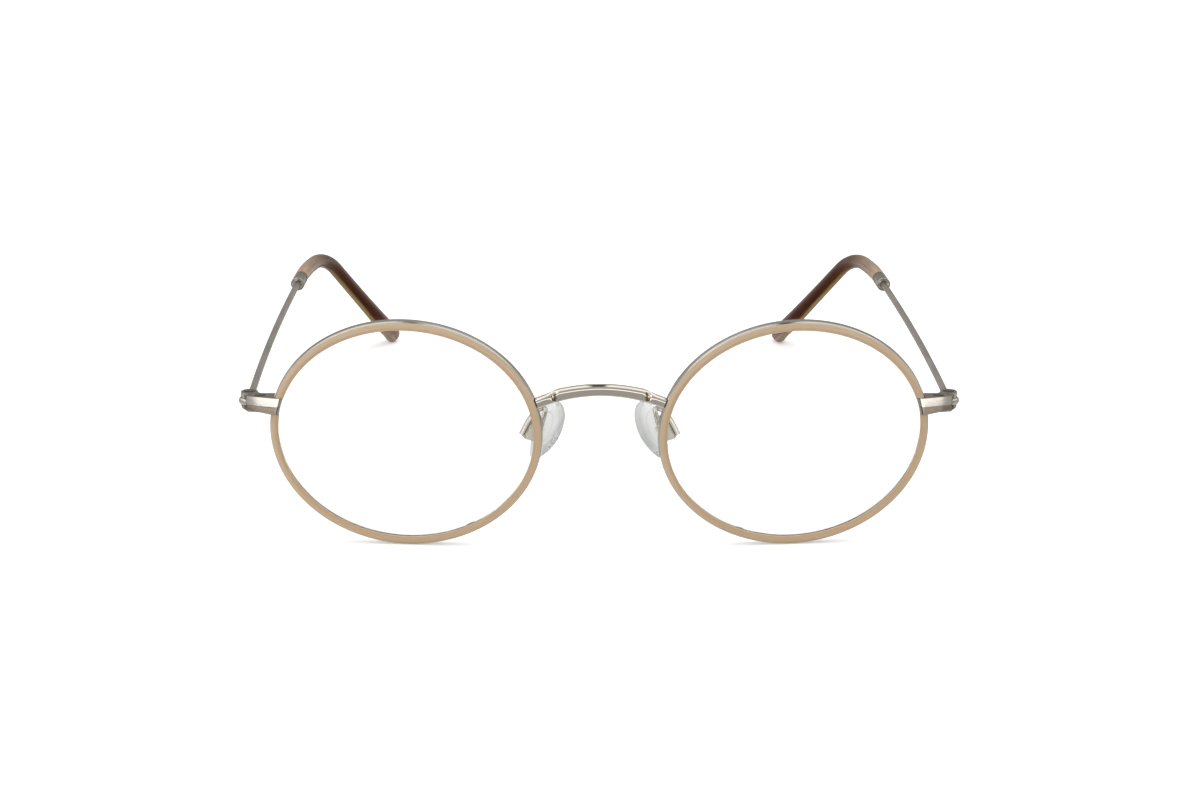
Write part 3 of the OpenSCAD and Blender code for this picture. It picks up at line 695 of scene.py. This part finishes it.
def make_eyewire():
    """The rim with its seat for the inlay, and a lip at each end beside the split"""
    lip_steps = 8
    seam = radians(0.25)
    seat = rounded(seat_section, 0.15)
    lip = rounded(lip_section, 0.08)
    rim = oval_sweep(seat, inlay_from, inlay_to, OVAL_STEPS, LEVEL_REACH)
    upper = oval_sweep(lip, rim_from, inlay_from - seam, lip_steps)
    lower = oval_sweep(lip, inlay_to + seam, rim_to, lip_steps)
    return join_meshes(rim, upper, lower)


def make_rim_inlay():
    """A crowned ring that falls away a little more on its inner half, and turns into the rebate"""
    steps = 14
    outer_fall = 0.5
    inner_fall = 0.6
    inner = -RIM_LAP - GROOVE_FLOOR
    seat = -RIM_FRONT - SEAM
    turn = inlay_foot - SEAM
    fold = rebate - SEAM
    crown = []
    for step in range(steps + 1):
        share = step / steps
        fall = outer_fall if share < 0.5 else inner_fall
        rise = (INLAY_DEPTH - SEAM - EASE) * (1 - fall * (2 * share - 1) ** 2)
        crown.append((mix(inlay_outside, inner, share), seat - rise))
    section = [(turn, seat), (inlay_outside, seat)] + crown + [(inner, fold), (turn, fold)]
    return oval_sweep(section, inlay_from, inlay_to, OVAL_STEPS, LEVEL_REACH)


# Lenses
LENS_SHOULDER = -RIM_LAP - SEAM


def lens_point(angle, out, back):
    """The bevel follows the edge, and the faces shrink with it towards the middle"""
    if out > LENS_SHOULDER + SEAM / 2:
        return edge_point(angle, out, back)
    edge = edge_point(angle, LENS_SHOULDER, 0)
    share = (out + LENS_WIDTH / 2) / (LENS_SHOULDER + LENS_WIDTH / 2)
    x = edge.x * share
    z = edge.z * share
    return Vector((x, curve_sag(x, z) + back, z))


def make_lens():
    rings = 24
    steps = 128
    front = -GROOVE_HALF + SEAM
    back = front + LENS_THICKNESS
    half = LENS_WIDTH / 2
    outs = [mix(-half, LENS_SHOULDER, share / rings) for share in range(rings + 1)]
    profile = [(out, front) for out in outs] + [(-2 * SEAM, 0), (LENS_SHOULDER, GROOVE_HALF - SEAM)]
    profile += [(out, back) for out in reversed(outs)]
    bm = turned([(half + out, level, 0) for out, level in profile], (0, -1, 0), steps)
    for vert in bm.verts:
        angle = math.atan2(vert.co.z, vert.co.x)
        vert.co = lens_point(angle, math.hypot(vert.co.x, vert.co.z) - half, vert.co.y)
    bmesh.ops.transform(bm, matrix=on_lens, verts=bm.verts)
    return bm


for side, sign in SIDES.items():
    finish_piece(make_eyewire(), f"{side}_rim_wire", satin_metal,
                 "front", f"{side}_eyewire", sign)
    finish_piece(make_rim_inlay(), f"{side}_beige_inlay", beige_inlay,
                 "front", f"{side}_rim_inlay", sign, crease=50)
    finish_piece(make_lens(), f"{side}_clear_lens", lens_glass,
                 "front", f"{side}_lens", sign)


# Bridge: a bar that follows an arch, with a carved waist near each end
bridge_clear = SEAM + BRIDGE_DEPTH / 2 * sin(FACE_WRAP)
bridge_seat = wrap @ edge_point(math.pi - BRIDGE_ANGLE, RIM_OUTSIDE + bridge_clear, 0)
seat_normal = edge_outward(math.pi - BRIDGE_ANGLE)
bridge_tilt = math.atan2(seat_normal.z, -seat_normal.x)
bridge_end_x = bridge_seat.x - BRIDGE_FOOT / 2 * sin(bridge_tilt)
bridge_end_z = bridge_seat.z - BRIDGE_FOOT / 2 * cos(bridge_tilt)
bridge_drop = BRIDGE_RISE / bridge_end_x ** 2
bridge_front = bridge_seat.y - BRIDGE_DEPTH / 2


def bar_height(far):
    shoulder_at = WAIST_AT - CHAMFER_REACH
    if far < shoulder_at:
        return mix(BRIDGE_HEIGHT, BRIDGE_SHOULDER, (far / shoulder_at) ** 3)
    return mix(BRIDGE_SHOULDER, BRIDGE_FOOT, clamp((far - shoulder_at) / CHAMFER_REACH / 2))


def waist_share(far):
    """1 at the bottom of a waist's groove, 0 outside it"""
    share = clamp(1 - abs(far - WAIST_AT) / WAIST_REACH)
    return share * share * (3 - 2 * share)


def bar_outline(height, front, crown):
    """Section of the bar: crowned from its front to its top, with eased corners behind and below"""
    steps = 6
    outline = [(front, BRIDGE_CORNER)]
    for step in range(steps + 1):
        turn = math.pi / 2 * step / steps
        outline.append((front + (crown - front) * (1 - cos(turn)), height - crown * (1 - sin(turn))))
    for forward, down in ((2.6, 0), (1.1, 0.4), (0, 1.4)):
        outline.append((BRIDGE_DEPTH - forward * BRIDGE_CORNER, height - down * BRIDGE_CORNER))
    outline += [(BRIDGE_DEPTH, BRIDGE_CORNER), (BRIDGE_DEPTH - BRIDGE_CORNER, 0), (front + BRIDGE_CORNER, 0)]
    return rounded(outline, BRIDGE_ROUNDING)


def bar_ring(x):
    side = 1 if x > 0 else -1
    far = abs(x)
    slope = math.atan(2 * bridge_drop * far)
    tilt = mix(slope, bridge_tilt, (far / bridge_end_x) ** 6)
    crown = BRIDGE_CROWN + WAIST_CHAMFER * max(0, 1 - abs(far - WAIST_AT) / CHAMFER_REACH)
    low = bridge_end_z + BRIDGE_RISE - bridge_drop * far * far
    return [Vector((side * (far + up * sin(tilt)), bridge_front + back, low + up * cos(tilt)))
            for back, up in bar_outline(bar_height(far), WAIST_DEPTH * waist_share(far), crown)]


def make_bridge():
    stations = 240
    patina_fade = 0.1
    reach = bridge_end_x
    bm = sweep([bar_ring(mix(-reach, reach, number / stations)) for number in range(stations + 1)])
    patina = bm.verts.layers.float.new("patina")
    for vert in bm.verts:
        on_face = clamp((bridge_front + WAIST_DEPTH + patina_fade - vert.co.y) / patina_fade)
        vert[patina] = waist_share(abs(vert.co.x)) * on_face
    bmesh.ops.transform(bm, matrix=on_front, verts=bm.verts)
    return bm


finish_piece(make_bridge(), "saddle_bridge", bridge_metal, "front", "bridge")

# Rim locks, hinges and screws keep the CAD shapes, with eased edges
for side, sign in SIDES.items():
    for node, material, slot, body, reach in (
            ("endpiece", polished_metal, "polished_metal", "front", 0.1),
            ("closing_block", warm_metal, "satin_metal", "front", 0.1),
            ("rim_lock_screw", screw_steel, "screw_steel", "front", 0.04),
            ("hinge_screw", screw_steel, "screw_steel", "front", 0.04),
            ("pad_box", box_metal, "satin_metal", "front", 0.07),
            ("pad_screw", screw_steel, "screw_steel", "front", 0.03),
            ("temple_knuckle", ferrule_metal, "satin_metal", f"{side}_temple", 0.08)):
        finish_piece(softened(f"{side}_{node}", reach), f"{side}_eased_{node}", material, body,
                     f"{side}_{node}", crease=12)

# Path of the temple, at a distance back from the hinge
curl_from = TEMPLE_TO_BEND - CURL_LEAD
bend_run = BEND_RADIUS * sin(TIP_FALL)
bend_drop = BEND_RADIUS * (1 - cos(TIP_FALL))
ferrule_from = TEMPLE_TO_BEND - TIP_LEAD - FERRULE_LENGTH
tip_from = ferrule_from + FERRULE_LENGTH
paddle_end_radius = PADDLE_HEIGHT / 2
tip_to = TEMPLE_TO_BEND + bend_run + (hinge.z - bend_drop - paddle_end_radius) / tan(TIP_FALL)


def temple_at(back):
    curled = min(CURL_LENGTH, max(0, back - curl_from))
    straight = max(0, back - curl_from - CURL_LENGTH)
    bow = back ** 2 / 2 / BOW_RADIUS
    curl = (curled / 2 + straight) * curled / CURL_RADIUS
    inward = back * tan(TEMPLE_TOE) + bow + curl
    past = back - TEMPLE_TO_BEND
    if past < 0:
        down = 0
    elif past < bend_run:
        down = BEND_RADIUS - math.sqrt(BEND_RADIUS ** 2 - past ** 2)
    else:
        down = bend_drop + (past - bend_run) * tan(TIP_FALL)
    return Vector((hinge.x - inward, hinge.y + back, hinge.z - down))


def temple_forward(back):
    step = 0.05
    return (temple_at(back + step) - temple_at(back - step)).normalized()


def path_ring(place, forward, half_width, half_height, sides, up=Vector((0, 0, 1))):
    across = forward.cross(up).normalized()
    upright = across.cross(forward)
    turns = [math.tau * number / sides for number in range(sides)]
    return [place + across * (cos(turn) * half_width) + upright * (sin(turn) * half_height) for turn in turns]


def make_temple_wire():
    sides = 20
    stations = 72
    core = 1
    rings = []
    for number in range(stations + 1):
        back = mix(SHANK_LENGTH + SEAM, tip_from + core, number / stations)
        rings.append(path_ring(temple_at(back), temple_forward(back), WIRE_WIDTH / 2, WIRE_HEIGHT / 2, sides))
    return sweep(rings)


def make_ferrule():
    """A collar with a shallow cone round the wire and a rolled lip round the cone"""
    steps = 48
    clearance = 0.04
    lip = 0.2
    end_chamfer = 0.2
    end_narrows = 0.06
    bore = WIRE_WIDTH / 2 + clearance
    end = FERRULE_LENGTH - SEAM
    profile = [(mix(bore, FERRULE_RADIUS - lip, share), mix(CONE_DEPTH, lip, share ** 0.8))
               for share in (0, 0.3, 0.6, 0.9)]
    profile += [(FERRULE_RADIUS - lip / 2 + lip / 2 * sin(radians(turn)), lip - lip * cos(radians(turn)))
                for turn in range(-60, 91, 15)]
    profile += [(FERRULE_RADIUS, FERRULE_LENGTH - end_chamfer), (FERRULE_RADIUS - end_narrows, end)]
    profile += [(bore, end), (bore, CONE_DEPTH)]
    bm = turned([(radius, 0, height) for radius, height in profile], (0, 0, 1), steps)
    start = temple_at(ferrule_from)
    run = temple_at(tip_from) - start
    place = Matrix.Translation(start) @ run.to_track_quat("Z", "Y").to_matrix().to_4x4()
    bmesh.ops.transform(bm, matrix=place, verts=bm.verts)
    return bm


def tip_half(back):
    """Half the tip's width and height, which run from the ferrule's collar to the paddle"""
    collar_step = 0.1
    mouth_length = 4
    collar = 2 * FERRULE_RADIUS - collar_step
    flare = clamp((back - tip_from) / (tip_to - tip_from)) ** PADDLE_FLARE
    mouth = 1 - clamp((back - tip_from) / mouth_length)
    width = mix(mix(TIP_WIDTH, PADDLE_WIDTH, flare), collar, mouth)
    height = mix(mix(TIP_HEIGHT, PADDLE_HEIGHT, flare), collar, mouth)
    return width / 2, height / 2


def make_tip():
    """Rings with a small round at the mouth, then along the tip, then over its round end"""
    sides = 32
    stations = 96
    mouth_round = 0.1
    mouth = tip_from + SEAM
    rings = []
    for shrink in (0.8, 0.94):
        half = [size * shrink for size in tip_half(mouth)]
        place = temple_at(mouth + (1 - shrink) * mouth_round)
        rings.append(path_ring(place, temple_forward(mouth), *half, sides))
    for number in range(stations + 1):
        back = mix(mouth + mouth_round, tip_to, number / stations)
        rings.append(path_ring(temple_at(back), temple_forward(back), *tip_half(back), sides))
    end = temple_at(tip_to)
    forward = temple_forward(tip_to)
    for degrees in range(10, 90, 10):
        turn = radians(degrees)
        half = [size * cos(turn) for size in tip_half(tip_to)]
        rings.append(path_ring(end + forward * paddle_end_radius * sin(turn), forward, *half, sides))
    return sweep(rings)


for side, sign in SIDES.items():
    finish_piece(make_temple_wire(), f"{side}_drawn_wire", wire_metal,
                 f"{side}_temple", f"{side}_temple_wire", sign)
    finish_piece(make_ferrule(), f"{side}_tip_ferrule", ferrule_metal,
                 f"{side}_temple", f"{side}_ferrule", sign)
    finish_piece(make_tip(), f"{side}_brown_tip", tip_brown,
                 f"{side}_temple", f"{side}_temple_tip", sign)

# Pad frame, at the pad screw: X along the screw, Y towards the nose, Z up the pad
pad_up = Vector((-sin(PAD_LEAN), 0, cos(PAD_LEAN)))
pad_face = Vector((-cos(PAD_SPLAY) * cos(PAD_LEAN), sin(PAD_SPLAY), -cos(PAD_SPLAY) * sin(PAD_LEAN)))
pad_along = pad_face.cross(pad_up)
pad_pivot = Vector(joints["left_pad_rock"]["pos_m"]) / MM
on_pad = Matrix.Translation(pad_pivot) @ Matrix((pad_along, pad_face, pad_up)).transposed().to_4x4()


def press_pad(bm):
    """Presses a unit ball to the pad's crowned form, broad at the top"""
    fullness = 0.72
    crown = 0.9
    upper_flare = 0.14
    lower_taper = 0.3
    span = bm.verts.layers.float.new("span")
    for vert in bm.verts:
        x, y, z = vert.co
        far = math.hypot(x, z)
        vert[span] = far
        spread = far ** fullness / max(far, 1e-6)
        x *= spread
        z *= spread
        broad = 1 + (upper_flare if z > 0 else lower_taper) * z
        level = math.copysign(abs(y) ** crown, y)
        vert.co = Vector((
            PAD_WIDTH / 2 * x * broad,
            PAD_STEM + level * PAD_THICKNESS / 2,
            PAD_LENGTH / 2 * z))


def shape_lug(verts, share):
    """Brings a ring of the lug to its square section, at this share of the way to its round end"""
    root_height = 0.85
    full_from = 0.7
    squareness = 0.8
    root = PAD_STEM - PAD_THICKNESS * 0.45
    widest = max(math.hypot(vert.co.x, vert.co.z) for vert in verts)
    half_height = LUG_RADIUS * (root_height if share < full_from else 1)
    for vert in verts:
        turn = math.atan2(vert.co.z, vert.co.x)
        reach = math.hypot(vert.co.x, vert.co.z) / widest
        c, s = cos(turn), sin(turn)
        square = reach / max(abs(c), abs(s)) ** squareness
        vert.co.x = LUG_WIDTH / 2 * square * c
        vert.co.z = half_height * min(1, abs(square * s)) * math.copysign(1, s)
        end = -math.sqrt(max(0, LUG_RADIUS ** 2 - vert.co.z ** 2))
        vert.co.y = mix(root, end, share)


def make_nose_pad():
    """A pressed ball, with the lug drawn from its back"""
    back_pole = -0.985
    bm = bmesh.new()
    bmesh.ops.create_uvsphere(bm, u_segments=64, v_segments=32, radius=1)
    bmesh.ops.rotate(bm, verts=bm.verts, cent=(0, 0, 0), matrix=Matrix.Rotation(math.pi / 2, 3, "X"))
    root = [face for face in bm.faces if face.calc_center_median().y < back_pole]
    press_pad(bm)
    for share in (0, 0.3, 0.75, 1):
        if share:
            drawn = bmesh.ops.extrude_face_region(bm, geom=root)["geom"]
            bmesh.ops.delete(bm, geom=root, context="FACES_ONLY")
            root = [item for item in drawn if isinstance(item, bmesh.types.BMFace)]
        shape_lug({vert for face in root for vert in face.verts}, share)
    bmesh.ops.transform(bm, matrix=on_pad, verts=bm.verts)
    return bm


# The pad arm rises from the back of the rim, turns over and runs down the back of the pad box
box_reach = LUG_RADIUS + FREE_GAP + CHEEK + SEAM + ARM_THICK / 2
arm_start = on_lens @ edge_point(ARM_ANGLE, RIM_OUTSIDE / 2, RIM_BACK + SEAM)
arm_leaves = (on_lens @ edge_point(ARM_ANGLE, RIM_OUTSIDE / 2, RIM_BACK + 1) - arm_start).normalized()
box_spine = pad_pivot - pad_face * box_reach
arm_top = box_spine + pad_up * 0.8
arm_end = box_spine - pad_up * 1.7
arm_apex = Vector((arm_start.x - 0.9, mix(arm_start.y, arm_end.y, 0.45), split_at.z - 0.9))


def curve_at(a, b, c, d, share):
    rest = 1 - share
    return a * rest ** 3 + b * 3 * share * rest ** 2 + c * 3 * share ** 2 * rest + d * share ** 3


def make_pad_arm():
    sides = 16
    steps = 26
    rising = (arm_start, arm_start + arm_leaves * 1.7, arm_apex + Vector((0, -1.4, -0.4)), arm_apex)
    falling = (arm_apex, arm_apex + Vector((0.1, 1.2, 0.3)), arm_top + pad_up * 1.9, arm_top)
    path = [curve_at(*rising, number / steps) for number in range(steps + 1)]
    path += [curve_at(*falling, number / steps) for number in range(1, steps + 1)]
    path += [mix(arm_top, arm_end, share) for share in (0.05, 0.97, 1)]
    rings = []
    for number, place in enumerate(path):
        before = path[max(0, number - 1)]
        after = path[min(len(path) - 1, number + 1)]
        forward = (after - before).normalized()
        rings.append(path_ring(place, forward, ARM_THICK / 2, ARM_THICK / 2, sides, Vector((1, 0, 0))))
    return sweep(rings)


for side, sign in SIDES.items():
    finish_piece(make_nose_pad(), f"{side}_clear_pad", soft_pad,
                 f"{side}_pad", f"{side}_nose_pad", sign)
    finish_piece(make_pad_arm(), f"{side}_bent_arm", satin_metal,
                 "front", f"{side}_pad_arm", sign)


# Floor, backdrop and lights
def make_floor_white():
    """White floor that shows the object's reflections cards of grey, each with its distance back"""
    floor_tone = 0.82
    glow = 0.3
    glow_to_camera = 1.5
    card_from = -0.4
    card_to = 0.1
    cards = ((-0.28, 0.35), (-0.25, 0.82), (-0.130, 0.82), (-0.121, 0.2), (-0.084, 0.2), (-0.075, 0.45),
             (-0.03, 0.45), (0.0, 0.15), (0.055, 0.15))
    front_card = (0.0, (0.35, 0.34, 0.33, 1))
    back_card = (1.0, grey(0.5))
    finish = Finish("white_floor", Roughness=0.9)
    rays = finish.add("ShaderNodeLightPath").outputs
    back = finish.spread(finish.axes(finish.place)["Y"], card_from, card_to)
    stops = [((y - card_from) / (card_to - card_from), grey(level)) for y, level in cards]
    card = finish.ramp(back, front_card, *stops, back_card)
    opaque = finish.maths("SUBTRACT", 1.0, rays["Is Transmission Ray"])
    in_metal = finish.maths("MULTIPLY", rays["Is Glossy Ray"], opaque)
    tone = finish.blend(in_metal, grey(floor_tone), card)
    finish.wear(Base_Color=tone)

    # A glow lifts the floor to white, for the camera most of all
    seen = finish.maths("MULTIPLY", rays["Is Camera Ray"], glow_to_camera)
    for kind in ("Is Glossy Ray", "Is Transmission Ray"):
        seen = finish.maths("MAXIMUM", seen, rays[kind])
    emission = finish.add("ShaderNodeEmission", Color=tone, Strength=finish.maths("MULTIPLY", seen, glow))
    total = finish.add("ShaderNodeAddShader")
    finish.feed(total.inputs[0], finish.shader.outputs["BSDF"])
    finish.feed(total.inputs[1], emission.outputs["Emission"])
    finish.feed(finish.surface, total.outputs["Shader"])
    return finish.material


def make_floor():
    bm = bmesh.new()
    bmesh.ops.create_grid(bm, x_segments=1, y_segments=1, size=4)
    mesh = bpy.data.meshes.new("floor")
    bm.to_mesh(mesh)
    bm.free()
    mesh.materials.append(make_floor_white())
    floor = bpy.data.objects.new("floor", mesh)
    bpy.context.scene.collection.objects.link(floor)


def make_studio():
    """White to the camera. The object has a white sky over a dim horizon, a narrow dark gap overhead,
    a grey room in front and, in its reflections alone, grey walls behind and in front."""
    horizon = (0.36, (0.50, 0.49, 0.48, 1))
    full_sky = (0.46, grey(1.0))
    gap_half = (0.05, 0.09)
    gap_from = (-0.55, -0.45)
    gap_above = (0.52, 0.58)
    wall_behind = (0.72, 0.80)
    wall_in_front = (-0.3, -0.5)
    room_in_front = (-0.2, -0.5)
    room_below = (0.75, 0.6)
    world = bpy.data.worlds.new("studio")
    world.use_nodes = True
    bpy.context.scene.world = world
    studio = Nodes(world.node_tree)
    axes = studio.axes(studio.add("ShaderNodeTexCoord").outputs["Generated"])
    rays = studio.add("ShaderNodeLightPath").outputs
    shade = studio.ramp(axes["Z"], horizon, full_sky)

    beside = studio.spread(studio.maths("ABSOLUTE", axes["X"]), *gap_half)
    gap = studio.maths("SUBTRACT", 1.0, beside)
    gap = studio.maths("MULTIPLY", gap, studio.spread(axes["Y"], *gap_from))
    gap = studio.maths("MULTIPLY", gap, studio.spread(axes["Z"], *gap_above))
    shade = studio.blend(gap, shade, grey(0.03))

    behind = studio.spread(axes["Y"], *wall_behind)
    wall = studio.maths("MAXIMUM", behind, studio.spread(axes["Y"], *wall_in_front))
    wall = studio.maths("MULTIPLY", wall, rays["Is Glossy Ray"])
    shade = studio.blend(wall, shade, (0.40, 0.395, 0.39, 1))

    below = studio.spread(axes["Z"], *room_below)
    room = studio.maths("MULTIPLY", studio.spread(axes["Y"], *room_in_front), below)
    shade = studio.blend(room, shade, (0.36, 0.35, 0.34, 1))

    seen = studio.maths("MAXIMUM", rays["Is Camera Ray"], rays["Is Transmission Ray"])
    background = studio.tree.nodes["Background"]
    background.inputs["Strength"].default_value = 1.0
    studio.feed(background.inputs["Color"], studio.blend(seen, shade, grey(1.0)))


def make_softbox(name, place, aim, size, power):
    lamp = bpy.data.lights.new(name, "AREA")
    lamp.shape = "RECTANGLE"
    lamp.size, lamp.size_y = size
    lamp.energy = power
    holder = bpy.data.objects.new(name, lamp)
    holder.location = place
    holder.rotation_euler = (Vector(aim) - Vector(place)).to_track_quat("-Z", "Y").to_euler()
    bpy.context.scene.collection.objects.link(holder)
    return holder


make_floor()
make_studio()
overhead = make_softbox("overhead_softbox", place=(0.1, -0.1, 0.9), aim=(0, 0, 0), size=(0.9, 0.7), power=4)
overhead.visible_glossy = False
make_softbox("side_softbox", place=(-0.8, -0.5, 0.6), aim=(0, 0, 0.02), size=(0.6, 0.6), power=2)

# Camera at the photograph's viewing angle
CAMERA_TARGET = Vector((-0.132, stand_y, 28.6)) * MM
CAMERA_DISTANCE = 600 * MM
CAMERA_PITCH = radians(17.75)
CAMERA_YAW = radians(1.44)
CAMERA_ROLL = radians(0.43)
FOCAL_PIXELS = 3403
PHOTO_WIDTH = 1200


def make_camera():
    data = bpy.data.cameras.new("camera")
    data.sensor_width = 36
    data.lens = FOCAL_PIXELS / PHOTO_WIDTH * data.sensor_width
    data.clip_start = 0.01
    camera = bpy.data.objects.new("camera", data)
    level = Euler((math.pi / 2 - CAMERA_PITCH, 0, -CAMERA_YAW)).to_matrix()
    camera.rotation_euler = (level @ Matrix.Rotation(CAMERA_ROLL, 3, "Z")).to_euler()
    camera.location = CAMERA_TARGET + level @ Vector((0, 0, CAMERA_DISTANCE))
    bpy.context.scene.collection.objects.link(camera)
    bpy.context.scene.camera = camera


make_camera()
bpy.context.scene.view_settings.view_transform = "Standard"
